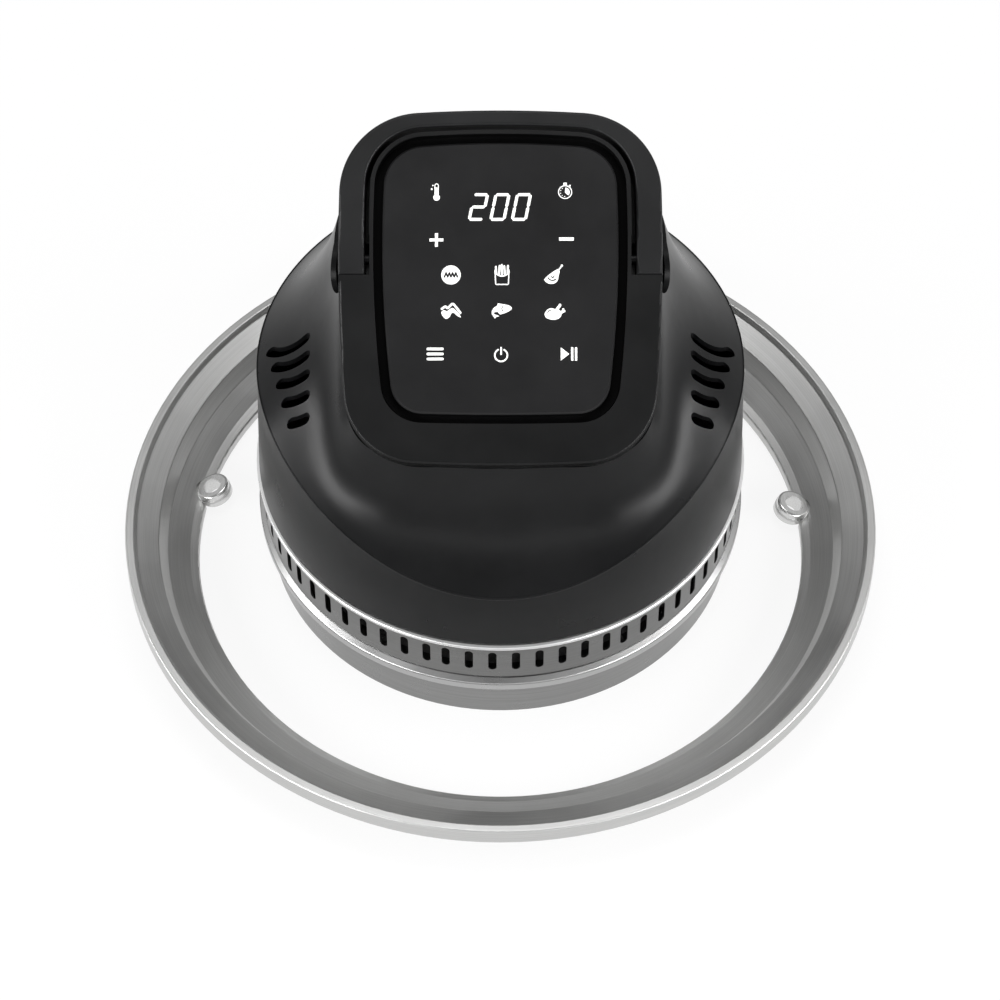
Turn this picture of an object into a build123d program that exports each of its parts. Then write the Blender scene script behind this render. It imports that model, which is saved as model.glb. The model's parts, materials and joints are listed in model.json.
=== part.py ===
from build123d import *
import math
import os

import numpy as np

# Air-frying lid for a multicooker, with its loose steel rim ring.
# Millimetres. Origin: on the lid's axis, at the bottom edge of the steel skirt. +Z up, +Y to the back.

# Cutting tools reach past the whole part, and run over the faces that they cut
reach = 400.0
over = 1.0

# Steel lower part
skirt_radius = 107.8
skirt_wall = 1.0
skirt_height = 20.0
flange_radius = skirt_radius + 4.6
flange_low = 23.0
flange_high = 27.0
waist_radius = skirt_radius + 1.8
waist_height = 29.0
inner_flange_radius = skirt_radius - 8.8
shield_edge = 1.0
shield_thickness = 1.0
band_radius = waist_radius + 1.0
band_sheet = 0.8
band_height = 22.0
band_lip = 7.6
bead_radius = band_radius + 1.6
bead_height = 3.2
bead_flank = 0.8
plate_inset = 0.6
plate_thickness = 1.2
bend_radius = 1.2

# Slots punched in the band, a gang of eight at a time
slot_width = 3.7
slot_height = 12.8
slot_rise = 6.4
slots_per_group = 8
slot_groups = 8
slot_pitch = 5.43
group_pitch = 42.6
slot_first = -183.1
slot_tool = 14.0

# Black housing
housing_radius = band_radius + 0.4
housing_taper = 0.04
housing_wall = 2.6
crease_front_height = 88.0
crease_side_height = 119.0
crease_turn = 79.0
section_step = 10
dome_wall = 2.5
shoulder_slope_front = 26.0
shoulder_slope_side = 42.0
neck_slope_front = 76.0
neck_slope_side = 80.0
shoulder_pull = 0.62
neck_pull = 0.52
inner_low_shift = (0.45, 1.0)
inner_high_shift = (0.85, 0.5)

# Tilted control panel: u is X, v runs up the slope, n is the normal
panel_tilt = 28.0
panel_height = 184.4
lens_front = -67.0
lens_back = 53.3
lens_half_width = 50.7
lens_thickness = 3.0
lens_corner_front = (45.5, -66.0)
lens_corner_back = (49.5, 50.3)
lens_round_front = 14.0
lens_round_back = 18.0
neck_front = -89.0
neck_half_width = 69.8
neck_corner_front = (64.5, -86.0)
neck_corner_back = (68.5, 64.0)
neck_round_front = 32.0
neck_round_back = 36.0
grip_back = 68.0
neck_rear_inset = 9.0
groove_width = 4.0
rim_wall = 1.8
grip_gap = 2.1
bezel_depth = 8.0
bezel_skin = 2.6
groove_floor = 4.6
floor_thickness = 1.6
lens_ledge = 5.0
lens_seat_inset = 0.6
lens_bevel = 0.8
clear_round = 40.0
clear_above = 60.0

# Folding grip
grip_thickness = 17.0
grip_shell = 9.0
split_line = -4.7
pivot_depth = 9.0
pivot_seat_radius = 12.0
seat_gap = 0.6
tray_gap = 0.5
tray_thickness = 2.0
pin_radius = 2.25
pin_clearance = 0.06
pin_inner = 47.0
pin_outer = 66.0
pin_boss = 4.2
running_gap = 0.3
grip_wall = 2.4
grip_edge = 1.2
grip_solid = 14.0
grip_screw_places = ((63.0, 30.0), (45.0, 62.3))

# Side vents
vent_count = 5
vent_first = -3.0
vent_pitch = 9.4
vent_width = 4.6
vent_inner = housing_radius - 27.8
vent_length = 21.5
vent_shorter = 2.8
vent_turn = 18.0
vent_turn_step = 3.4
vent_bow = 0.008
vent_reach = 90.0

# Rotor
shaft_radius = 3.0
shaft_clearance = 0.05
motor_radius = 36.0
motor_height = 40.0
motor_stand = 4.0
motor_wall = 2.0
motor_end = 3.0
motor_slot_width = 4.0
motor_slot_tool = 10.0
motor_slot_count = 10
stator_inner = 23.0
stator_height = 22.0
armature_gap = 0.8
mount_circle = 26.0
mount_radius = 5.0
mount_count = 3
hot_fan_radius = inner_flange_radius - 37.0
hot_fan_height = 9.0
hot_fan_base = 16.5
hot_fan_blades = 12
cool_fan_radius = band_radius - 26.6
cool_fan_height = 13.0
cool_fan_base = 37.0
cool_fan_blades = 18
fan_sheet = 1.0
fan_bore = 14.0
blade_sweep = 18.0
hub_radius = 8.0
hub_rise = 1.5
nut_height = 5.0
nut_radius = 6.0
nut_end = 1.2
shaft_inset = 0.5

# Heater and guard
coil_tube = 3.3
coil_height = 9.8
coil_inner = inner_flange_radius - 31.0
coil_step = 5.0
coil_half_turns = 4
coil_bend = 9.0
bracket_sheet = 1.2
bracket_count = 3
bush_radius = 6.0
bush_neck = 4.0
bush_rise = 3.0
guard_height = 2.9
guard_wire = 1.1
guard_first_ring = 14.0
guard_rings = 9
guard_spokes = 6
post_radius = 2.6
post_circle = inner_flange_radius + 4.4
post_count = 3
post_turn = 30.0
tab_radius = 3.3
screw_radius = 1.4
screw_head = 2.9
screw_head_height = 1.5
screw_length = 8.0
screw_room = 1.1
cross_share = 1.2
cross_width = 0.6
cross_depth = 0.7
band_screw_circle = band_radius - 5.4
band_screw_count = 6
probe_radius = 1.6
probe_circle = inner_flange_radius - 2.1
probe_turn = 200.0
probe_reach = 18.0
probe_flange = 3.6
probe_flange_height = 1.5
cutout_radius = 8.0
cutout_height = 6.0
cutout_place = (25.0, -43.0)
tag_size = (0.8, 4.0, 5.0)
tag_spread = 3.5

# Air holes in the chassis plate
air_hole = 7.0
air_hole_circle = 80.0
air_hole_count = 9
air_hole_first = 190.0
air_hole_pitch = 20.0

# Housing screws and bosses
boss_circle = housing_radius - 6.4
boss_count = 4
boss_height = 16.0
boss_radius = 4.0
boss_turn = 45.0

# Mains inlet
inlet_height = 84.0
inlet_width = 34.0
inlet_tall = 27.0
inlet_flange = 2.4
inlet_lip = 2.8
inlet_depth = 19.0
socket_width = 24.0
socket_tall = 16.4
socket_depth = 15.0
blade_length = 13.0
blade_wide = 4.0
blade_thick = 2.0
blade_spacing = 7.0
blade_offset = 2.0

# Electronics
board_sheet = 1.6
board_gap = 2.0
board_inset = 3.0
board_notch = 1.5
board_screw_places = ((44.0, -46.0), (46.0, 38.0))
stand_off_radius = 3.4
small_screw = 1.2
small_head = 2.4
small_head_height = 1.8
small_skin = 0.6
grip_head_inset = 0.3
digit_size = (30.0, 16.0)
digit_place = (0.0, 24.5)
digit_gap = 0.4
touch_radius = 2.6
touch_places = ((-28.0, 31.0), (28.0, 31.0), (-28.0, 10.0), (28.0, 10.0),
                (-22.0, -5.7), (0.5, -5.7), (23.0, -5.7),
                (-22.0, -21.7), (0.5, -21.7), (23.0, -21.7),
                (-28.0, -40.6), (0.3, -40.6), (29.0, -40.6))
power_front = motor_radius + 6.0
power_back = housing_radius - 25.0
power_size = (88.0, power_back - power_front)
power_place = (0.0, (power_back + power_front) / 2)
power_height = 78.0
power_stand_off = 3.0
power_stand_inset = 6.0
transformer_size = (22.0, 18.0, 16.0)
transformer_place = (-26.0, 0.0)
winding_inset = (4.0, 2.0, 3.0)
relay_size = (16.0, 20.0, 15.0)
relay_places = ((10.0, 2.0), (30.0, 2.0))
capacitor_radius = 5.0
capacitor_height = 17.0
capacitor_places = ((-6.0, -8.0), (-6.0, 8.0))

# Switch under the grip
plunger_place = (61.5, 20.0)
plunger_radius = 2.0
plunger_travel = 2.0
plunger_flange = 2.8
plunger_flange_height = 1.6
plunger_tail = 2.4
plunger_clearance = 0.06
plunger_below_grip = 0.3
switch_size = (6.0, 14.0, 9.0)
switch_bracket = 1.6

# Loose rim ring, which lies round the lid
ring_centre = -15.4
ring_outer = 174.0
ring_inner = 141.2
ring_sheet = 1.2
ring_height = 26.4
ring_wall = 8.0
ring_rim = 4.0
ring_rim_slope = 1.3
ring_rim_drop = 2.4
ring_bend = 1.0
ring_shelf = 19.6
ring_shelf_radius = 158.8
ring_step = 12.0
ring_step_radius = 155.2
ring_foot = 6.0
ring_foot_radius = 145.2
ring_lip = 4.4
eyelet_bore = 4.5
eyelet_radius = 7.9
eyelet_height = 7.4
eyelet_edge = 1.2
eyelet_circle = 138.4
eyelet_lean = 20.0
eyelet_turn_left = -12.0
eyelet_turn_right = 7.6
eyelet_centre_height = 6.4
eyelet_tab = 1.2
eyelet_tab_width = 16.0
eyelet_grip = 1.0

# Derived levels and planes
shield_level = waist_height
band_level = shield_level + shield_thickness
band_top = band_level + band_height
plate_level = band_top + bead_height
housing_base = plate_level + plate_thickness
motor_level = housing_base + motor_stand
lean = math.radians(panel_tilt)
PANEL = Plane(origin=(0, 0, panel_height), x_dir=(1, 0, 0), z_dir=(0, -math.sin(lean), math.cos(lean)))
pivot_v = split_line + math.sqrt(pivot_seat_radius**2 - pivot_depth**2)
tray_top = grip_thickness + tray_gap


def save(name, shape):
    """Write one sub-part, named as a person would name it."""
    solids = Compound(children=list(shape.solids())) if len(shape.solids()) > 1 else shape.solids()[0]
    export_step(solids, f"parts/{name}.step")


def ring_of(count, radius, shape, start=0.0):
    """The same shape repeated on a circle about the axis."""
    return [Rot(0, 0, start + 360 * k / count) * Pos(radius, 0, 0) * shape for k in range(count)]


def joined(shapes):
    """All the shapes in one compound of separate solids."""
    return Compound(children=[s for shape in shapes for s in shape.solids()])


def revolved_sheet(points, thickness, bend=bend_radius):
    """A pressed sheet turned about the axis: its outer line of (radius, height) points, thickened inwards."""
    line = FilletPolyline(*points, radius=bend)
    section = make_face(offset(line, amount=thickness, side=Side.LEFT, closed=True))
    return revolve(Plane.XZ * section, Axis.Z)


def disc(radius, low, high, bore=0.0):
    """A flat disc on the axis between two heights, with an optional hole through it."""
    shape = Pos(0, 0, low) * Cylinder(radius, high - low, align=(Align.CENTER, Align.CENTER, Align.MIN))
    if bore:
        shape = shape - Pos(0, 0, low) * Cylinder(bore, 2 * (high - low))
    return shape


# Outlines on the panel

def outline(front, back, corner_front, corner_back, half_width, round_front, round_back, grow):
    """A rounded four-sided outline with bowed sides, in panel coordinates, grown by that much all round."""
    low_x, low_y = corner_front[0] + grow, corner_front[1] - grow
    high_x, high_y = corner_back[0] + grow, corner_back[1] + grow
    middle = (front + back) / 2
    side = half_width + grow
    right = ThreePointArc((low_x, low_y), (side, middle), (high_x, high_y))
    top = ThreePointArc((high_x, high_y), (0, back + grow), (-high_x, high_y))
    left = ThreePointArc((-high_x, high_y), (-side, middle), (-low_x, low_y))
    low = ThreePointArc((-low_x, low_y), (0, front - grow), (low_x, low_y))
    face = make_face([right, top, left, low])
    low_corners = face.vertices().sort_by(Axis.Y)[:2]
    face = fillet(low_corners, round_front + grow)
    high_corners = face.vertices().sort_by(Axis.Y)[-2:]
    return fillet(high_corners, round_back + grow)


def lens_outline(grow=0.0):
    """The touch glass's outline, grown or shrunk evenly."""
    return outline(lens_front, lens_back, lens_corner_front, lens_corner_back, lens_half_width,
                   lens_round_front, lens_round_back, grow)


def neck_outline(rear_inset=0.0, grow=0.0):
    """The outline of the bezel and grip, or of the neck under them with its back wall set in."""
    corner = (neck_corner_back[0], neck_corner_back[1] - rear_inset)
    return outline(neck_front, grip_back - rear_inset, neck_corner_front, corner, neck_half_width,
                   neck_round_front, neck_round_back, grow)


def slab(face, low, high):
    """A panel outline given thickness, from depth low to depth high under the panel's surface."""
    return extrude(PANEL.offset(-low) * face, amount=low - high)


def behind(v):
    """Everything behind the line v on the panel, as a block."""
    return PANEL * Pos(0, v + reach / 2, 0) * Box(reach, reach, reach / 3)


def across(radius, low, high):
    """A round bar along X on the grip's pivot axis, from |X| = low to high, on both sides."""
    bar = Pos(0, pivot_v, -pivot_depth) * Rot(0, 90, 0) * Cylinder(
        radius, high - low, align=(Align.CENTER, Align.CENTER, Align.MIN))
    right = PANEL * (Pos(low, 0, 0) * bar)
    return right + mirror(right, about=Plane.YZ)


def above_tray(depth):
    """Everything above that depth behind the pivot."""
    return slab(neck_outline(grow=clear_round), -clear_above, depth) & behind(pivot_v)


def turning_room(extra):
    """The room that the grip's rounded ends turn in, grown by the thickness of a wall round it."""
    inner = lens_half_width + groove_width + rim_wall
    return across(pivot_seat_radius + seat_gap + extra, inner, neck_half_width + clear_round)


def grip_space():
    """The room for the folded grip and its turning ends, outside the rim."""
    rim = slab(lens_outline(groove_width + rim_wall), -clear_above - over, tray_top + over)
    return above_tray(tray_top) - rim + turning_room(0)


# Black housing

def folded(angle):
    """The same angle from the front, folded onto one side."""
    return min(abs(angle), 360 - abs(angle))


def crease_height(angle):
    """Height of the parting line: low at the front, level round the sides and back."""
    share = min(folded(angle) / crease_turn, 1.0)
    rise = crease_side_height - crease_front_height
    return crease_front_height + rise * share**2 * (3 - 2 * share)


def wall_radius(height):
    """Outer radius of the lower housing, which tapers as it rises."""
    return housing_radius - (height - housing_base) * housing_taper


def radial(angle, radius, height):
    """A point at that angle from the front, towards +X."""
    return (radius * math.sin(math.radians(angle)), -radius * math.cos(math.radians(angle)), height)


def neck_edge():
    """The neck's top edge as arrays of angle, radius and height, read from its outline."""
    wire = (PANEL.offset(-bezel_depth) * neck_outline(neck_rear_inset)).wires()[0]
    points = [wire.position_at(k / 720) for k in range(720)]
    rows = sorted((math.degrees(math.atan2(p.X, -p.Y)), math.hypot(p.X, p.Y), p.Z) for p in points)
    rows = [r for r in rows if r[0] >= 0]
    return np.array(rows).T


def half_loft(section):
    """A shell lofted through sections past the front and back, cut to one side, and its mirror image."""
    past = 2 * section_step
    half = loft([section(angle) for angle in range(-past, 181 + past, section_step)])
    half = half & Pos(reach / 2, 0, 0) * Box(reach, reach, 2 * reach)
    return half + mirror(half, about=Plane.YZ)


def band_section(angle):
    """The lower housing's wall, cut by the plane at that angle."""
    top = crease_height(angle)
    low_r, top_r = wall_radius(housing_base), wall_radius(top)
    outside = [(low_r, housing_base), (top_r, top)]
    corners = outside + [(top_r - housing_wall, top), (low_r - housing_wall, housing_base)]
    return make_face(Polyline(*[radial(angle, r, z) for r, z in corners], close=True))


def dome_curve(angle, edge, inset):
    """Corner points of the shoulder's curve at that angle, from the parting line up to the neck."""
    share = min(folded(angle) / crease_turn, 1.0)
    start_slope = math.radians(shoulder_slope_front + (shoulder_slope_side - shoulder_slope_front) * share)
    end_slope = math.radians(neck_slope_front + (neck_slope_side - neck_slope_front) * share)
    low_r, low_z = wall_radius(crease_height(angle)), crease_height(angle)
    top_r, top_z = np.interp(folded(angle), edge[0], edge[1]), np.interp(folded(angle), edge[0], edge[2])
    run, rise = low_r - top_r, top_z - low_z
    first, last = shoulder_pull * run, neck_pull * rise
    low_pull = (low_r - first * math.cos(start_slope), low_z + first * math.sin(start_slope))
    top_pull = (top_r + last * math.cos(end_slope), top_z - last * math.sin(end_slope))
    corners = [(low_r - inset, low_z), low_pull, top_pull, (top_r - inset, top_z)]
    if inset:
        shift = [(0, 0), inner_low_shift, inner_high_shift, (0, 0)]
        corners = [(r - a * inset, z - b * inset) for (r, z), (a, b) in zip(corners, shift)]
    return [radial(angle, r, z) for r, z in corners]


def dome_section(angle, edge):
    """The shoulder's wall, cut by the plane at that angle."""
    outer = dome_curve(angle, edge, 0.0)
    inner = dome_curve(angle, edge, dome_wall)
    ends = Line(outer[-1], inner[-1]), Line(inner[0], outer[0])
    return make_face([Bezier(*outer), ends[0], Bezier(*reversed(inner)), ends[1]])


def vent_cuts():
    """Five bowed slots down each side of the shoulder, shorter towards the front and fanned a little."""
    cuts = []
    for k in range(vent_count):
        y = vent_first - k * vent_pitch
        length = vent_length - k * vent_shorter
        half = (length - vent_width) / 2
        bow = vent_bow * (2 * half)**2
        slot = SlotArc(ThreePointArc((-half, 0), (0, -bow), (half, 0)), vent_width)
        turned = Rot(0, 0, vent_turn - k * vent_turn_step) * extrude(slot, amount=vent_reach)
        cut = Pos(vent_inner + length / 2, y, crease_side_height) * turned
        cuts.append(cut)
        cuts.append(mirror(cut, about=Plane.YZ))
    return cuts


def lower_housing():
    """The tapered black wall, with its screw bosses and the hole for the inlet."""
    wall = half_loft(band_section)
    boss = disc(boss_radius, housing_base, housing_base + boss_height)
    bore = disc(screw_radius, housing_base - over, housing_base + screw_length)
    for post in ring_of(boss_count, boss_circle, boss, boss_turn):
        wall = wall + post
    for hole in ring_of(boss_count, boss_circle, bore, boss_turn):
        wall = wall - hole
    return wall - disc(reach / 2, 0, housing_base) - inlet_body()


def upper_housing():
    """The scooped shoulder and neck, open at the top for the bezel and cut away for the grip."""
    edge = neck_edge()
    shell = half_loft(lambda angle: dome_section(angle, edge))
    shell = shell - above_tray(tray_top + tray_thickness) - turning_room(tray_thickness)
    for cut in vent_cuts():
        shell = shell - cut
    return shell


# Steel lower part

def pot_skirt():
    """The skirt that drops into the pot, its bead over the pot's rim and its inner flange."""
    points = [(skirt_radius, 0), (skirt_radius, skirt_height), (flange_radius, flange_low),
              (flange_radius, flange_high), (waist_radius, waist_height), (inner_flange_radius, waist_height)]
    skirt = revolved_sheet(points, skirt_wall)
    return skirt - joined(band_screw_shanks())


def heat_shield():
    """The round plate above the heater, with its holes for the shaft, heater ends, probe and screws."""
    shield = disc(waist_radius - shield_edge, shield_level, band_level, shaft_radius + running_gap)
    for x, y in coil_ends():
        shield = shield - Pos(x, y, 0) * disc(bush_neck, shield_level - over, band_level + over)
    shield = shield - temperature_probe_rod()
    return shield - joined(band_screw_shanks())


def vent_band():
    """The steel band with its gangs of slots, a bead at its top and a lip at each end."""
    lip = band_radius - band_lip
    points = [(lip, band_level), (band_radius, band_level), (band_radius, band_top),
              (bead_radius, band_top + bead_flank), (bead_radius, plate_level - bead_flank),
              (band_radius, plate_level), (lip, plate_level)]
    band = revolved_sheet(points, band_sheet, bend_radius)
    slot = Plane.YZ * SlotOverall(slot_height, slot_width, rotation=90)
    tool = extrude(slot, amount=slot_tool)
    for group in range(slot_groups):
        for k in range(slots_per_group):
            turn = slot_first - 90 + group * group_pitch + k * slot_pitch
            height = band_level + slot_rise + slot_height / 2
            band = band - Rot(0, 0, turn) * Pos(band_radius - slot_tool / 2, 0, height) * tool
    return band - joined(band_screw_shanks()) - joined(housing_screw_shanks())


def chassis_plate():
    """The plate that carries the motor and closes the band, with a row of air holes."""
    plate = disc(band_radius - plate_inset, plate_level, housing_base, shaft_radius + running_gap)
    for k in range(air_hole_count):
        turn = air_hole_first + k * air_hole_pitch
        hole = disc(air_hole, plate_level - over, housing_base + over)
        plate = plate - Rot(0, 0, turn) * Pos(air_hole_circle, 0, 0) * hole
    return plate - joined(housing_screw_shanks())


def screw(radius, length, head, head_height):
    """A pan-head screw standing point up, with its head's underside at the origin."""
    shank = Cylinder(radius, length, align=(Align.CENTER, Align.CENTER, Align.MIN))
    cap = Cylinder(head, head_height, align=(Align.CENTER, Align.CENTER, Align.MAX))
    slot = head * cross_share
    cross = Box(slot, cross_width, cross_depth) + Box(cross_width, slot, cross_depth)
    return shank + cap - Pos(0, 0, -head_height) * cross


def band_screw_shanks():
    """The room that the band's screws take in the lips they clamp."""
    shank = Cylinder(screw_radius, screw_length, align=(Align.CENTER, Align.CENTER, Align.MAX))
    return ring_of(band_screw_count, band_screw_circle, Pos(0, 0, band_level + band_sheet) * shank)


def band_screws():
    """Screws through the band's lower lip, the shield and the skirt's flange."""
    turned = Rot(180, 0, 0) * screw(screw_radius, screw_length, screw_head, screw_head_height)
    return joined(ring_of(band_screw_count, band_screw_circle, Pos(0, 0, band_level + band_sheet) * turned))


def housing_screw_shanks():
    """The room that the housing's screws take in the band's upper lip and the plate."""
    shank = Cylinder(screw_radius, screw_length, align=(Align.CENTER, Align.CENTER, Align.MIN))
    return ring_of(boss_count, boss_circle, Pos(0, 0, plate_level - band_sheet) * shank, boss_turn)


def housing_screws():
    """Screws up through the band's upper lip and the plate into the housing's bosses."""
    one = screw(screw_radius, screw_length, screw_head, screw_head_height)
    return joined(ring_of(boss_count, boss_circle, Pos(0, 0, plate_level - band_sheet) * one, boss_turn))


# Heater

def coil_arcs():
    """Centre x and radius of each half turn of the heater, from its inner end outwards."""
    arcs = []
    centre, radius = 0.0, coil_inner
    for k in range(coil_half_turns):
        arcs.append((centre, radius))
        side = 1 if k % 2 == 0 else -1
        centre = centre + side * coil_step
        radius = radius + coil_step
    return arcs


def coil_ends():
    """Where the heater's two ends rise through the shield."""
    start = (coil_bend, coil_inner)
    centre, radius = coil_arcs()[-1]
    return [start, (-coil_bend, centre + radius)]


def heating_coil():
    """Two turns of heater tube lying flat, both ends bent up through the shield."""
    level = coil_height
    first, last = coil_ends()
    top = band_level + bush_rise + over
    parts = [Line((first[0], first[1], top), (first[0], first[1], level + coil_bend)),
             TangentArc((first[0], first[1], level + coil_bend), (0, first[1], level), tangent=(0, 0, -1))]
    for k, (centre, radius) in enumerate(coil_arcs()):
        side = 1 if k % 2 == 0 else -1
        a = (0, centre + side * radius, level)
        b = (0, centre - side * radius, level)
        parts.append(ThreePointArc(a, (-side * radius, centre, level), b))
    parts.append(TangentArc((0, last[1], level), (last[0], last[1], level + coil_bend), tangent=(-1, 0, 0)))
    parts.append(Line((last[0], last[1], level + coil_bend), (last[0], last[1], top)))
    path = Wire(parts)
    return sweep(Plane(path @ 0, z_dir=path % 0) * Circle(coil_tube), path)


def coil_brackets():
    """Three upright straps that hold the heater down from the shield."""
    inner = coil_inner - coil_tube
    outer = coil_inner + coil_half_turns * coil_step + coil_tube
    foot = coil_height + coil_tube
    strap = Pos(0, 0, foot) * Box(outer - inner, bracket_sheet, shield_level - foot,
                                  align=(Align.MIN, Align.CENTER, Align.MIN))
    return joined(ring_of(bracket_count, inner, strap, post_turn))


def coil_bushes():
    """Ceramic bushes on the shield round the heater's ends."""
    shapes = []
    for x, y in coil_ends():
        flange = disc(bush_radius, band_level, band_level + bush_rise)
        neck = disc(bush_neck, shield_level, band_level)
        tube = disc(coil_tube, shield_level - over, band_level + bush_rise + over)
        shapes.append(Pos(x, y, 0) * (flange + neck - tube))
    return joined(shapes)


def guard_grille():
    """Rings and spokes of wire under the heater, with a holed tab for each screw."""
    pitch = (post_circle - guard_first_ring) / (guard_rings - 1)
    grille = Pos(0, 0, guard_height) * Torus(guard_first_ring, guard_wire)
    for k in range(1, guard_rings):
        grille = grille + Pos(0, 0, guard_height) * Torus(guard_first_ring + k * pitch, guard_wire)
    spoke = Pos(0, 0, guard_height) * Rot(0, 90, 0) * Cylinder(
        guard_wire, post_circle - guard_first_ring, align=(Align.CENTER, Align.CENTER, Align.MIN))
    for place in ring_of(guard_spokes, guard_first_ring, spoke, post_turn):
        grille = grille + place
    tab = disc(tab_radius, guard_height - guard_wire, guard_height + guard_wire)
    for place in ring_of(post_count, post_circle, tab, post_turn):
        grille = grille + place
    hole = disc(screw_radius, 0, guard_height + guard_wire + over)
    for place in ring_of(post_count, post_circle, hole, post_turn):
        grille = grille - place
    return grille


def guard_posts():
    """Three posts from the skirt's flange down to the guard."""
    foot = guard_height + guard_wire
    hole = disc(screw_radius, foot - over, foot - 2 * guard_wire + screw_length + screw_room)
    post = disc(post_radius, foot, waist_height - skirt_wall) - hole
    return joined(ring_of(post_count, post_circle, post, post_turn))


def guard_screws():
    """Screws up through the guard's tabs into the posts."""
    foot = guard_height - guard_wire
    one = Pos(0, 0, foot) * screw(screw_radius, screw_length, screw_head, screw_head_height)
    return joined(ring_of(post_count, post_circle, one, post_turn))


def temperature_probe_rod():
    """The probe's rod through the shield."""
    rod = disc(probe_radius, shield_level - probe_reach, band_level + over)
    return Rot(0, 0, probe_turn) * Pos(probe_circle, 0, 0) * rod


def temperature_probe():
    """A thin rod down beside the heater, with a flange on the shield."""
    flange = disc(probe_flange, band_level, band_level + probe_flange_height)
    return temperature_probe_rod() + Rot(0, 0, probe_turn) * Pos(probe_circle, 0, 0) * flange


# Fans and motor

def fan(radius, height, base, blades, sweep_angle, plate_on_top=True):
    """A fan wheel: a round plate, upright swept blades on it and a hub on the shaft."""
    plate_low = base + height - fan_sheet if plate_on_top else base
    wheel = disc(radius, plate_low, plate_low + fan_sheet)
    length = radius - fan_bore
    blade = Pos(0, 0, base) * Rot(0, 0, sweep_angle) * Box(length, fan_sheet, height,
                                                           align=(Align.MIN, Align.CENTER, Align.MIN))
    for one in ring_of(blades, fan_bore, blade):
        wheel = wheel + one
    wheel = wheel & disc(radius, base, base + height)
    wheel = wheel + disc(hub_radius, base, base + height + hub_rise)
    return wheel - disc(shaft_radius, base - over, base + height + hub_rise + over)


def fan_nut():
    """The hexagonal nut that holds the lower fan on the shaft."""
    low = hot_fan_base - nut_height
    nut = Pos(0, 0, low) * extrude(RegularPolygon(nut_radius, 6), amount=nut_height)
    return nut - disc(shaft_radius, low + nut_end, hot_fan_base + over)


def fan_shaft():
    """The shaft from the nut up through both fans and the motor."""
    return disc(shaft_radius, hot_fan_base - nut_height + nut_end, motor_level + motor_height - shaft_inset)


def motor_case():
    """The motor's can, with a bearing bore in each end and slots round its wall."""
    top = motor_level + motor_height
    case = disc(motor_radius, motor_level, top, shaft_radius + shaft_clearance)
    case = case - disc(motor_radius - motor_wall, motor_level + motor_end, top - motor_end)
    outline = Plane.YZ * SlotOverall(motor_height / 3, motor_slot_width, rotation=90)
    slot = Pos(0, 0, motor_level + 3 * motor_height / 4) * extrude(outline, amount=motor_slot_tool)
    for cut in ring_of(motor_slot_count, motor_radius - 3 * motor_wall, slot):
        case = case - cut
    return case


def motor_stator():
    """The laminated ring inside the motor."""
    middle = motor_level + motor_height / 2
    low = middle - stator_height / 2
    return disc(motor_radius - motor_wall, low, low + stator_height, stator_inner)


def motor_armature():
    """The turning core on the shaft, inside the stator."""
    middle = motor_level + motor_height / 2
    low = middle - stator_height / 2
    return disc(stator_inner - armature_gap, low, low + stator_height, shaft_radius)


def motor_mounts():
    """Three rubber blocks between the plate and the motor."""
    return joined(ring_of(mount_count, mount_circle, disc(mount_radius, housing_base, motor_level)))


def thermal_cutout():
    """The round thermal cut-out on the plate, with its two tags."""
    low = housing_base
    body = disc(cutout_radius, low, low + cutout_height)
    for side in (-1, 1):
        body = body + Pos(side * tag_spread, 0, low + cutout_height) * Box(
            *tag_size, align=(Align.CENTER, Align.CENTER, Align.MIN))
    return Pos(*cutout_place, 0) * body


# Mains inlet at the back

def inlet_face():
    """Where the inlet's flange rests on the outside of the wall, at its widest."""
    return wall_radius(inlet_height - inlet_tall / 2)


def inlet_body():
    """The room that the inlet's block takes in the housing's wall."""
    wide, tall = inlet_width - 2 * inlet_lip, inlet_tall - 2 * inlet_lip
    return Pos(0, housing_radius, inlet_height) * Box(wide, 2 * inlet_depth, tall)


def mains_inlet():
    """The socket block, with its flange outside the wall."""
    face = inlet_face()
    up = (Align.CENTER, Align.MAX, Align.CENTER)
    wide, tall = inlet_width - 2 * inlet_lip, inlet_tall - 2 * inlet_lip
    block = Pos(0, face + inlet_flange, inlet_height) * Box(wide, inlet_depth, tall, align=up)
    flange = Pos(0, face + inlet_flange, inlet_height) * Box(inlet_width, inlet_flange, inlet_tall, align=up)
    hole = Pos(0, face + inlet_flange, inlet_height) * Box(socket_width, socket_depth, socket_tall, align=up)
    return block + flange - hole


def inlet_blades():
    """Three flat blades standing in the socket."""
    back = inlet_face() + inlet_flange - socket_depth
    blade = Box(blade_thick, blade_length, blade_wide, align=(Align.CENTER, Align.MIN, Align.CENTER))
    places = [(-blade_spacing, -blade_offset), (blade_spacing, -blade_offset), (0, blade_offset)]
    return joined([Pos(x, back, inlet_height + z) * blade for x, z in places])


# Control panel

def on_panel(u, v, depth):
    """A place on the panel, with its own axes, at that depth."""
    return PANEL * Pos(u, v, -depth)


def pegs(places, radius, low, high, both_sides=True):
    """Round pegs on the panel's underside at those places, and at their mirror places."""
    peg = Cylinder(radius, high - low, align=(Align.CENTER, Align.CENTER, Align.MAX))
    sides = (-1, 1) if both_sides else (1,)
    return [on_panel(side * u, v, low) * peg for u, v in places for side in sides]


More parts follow.
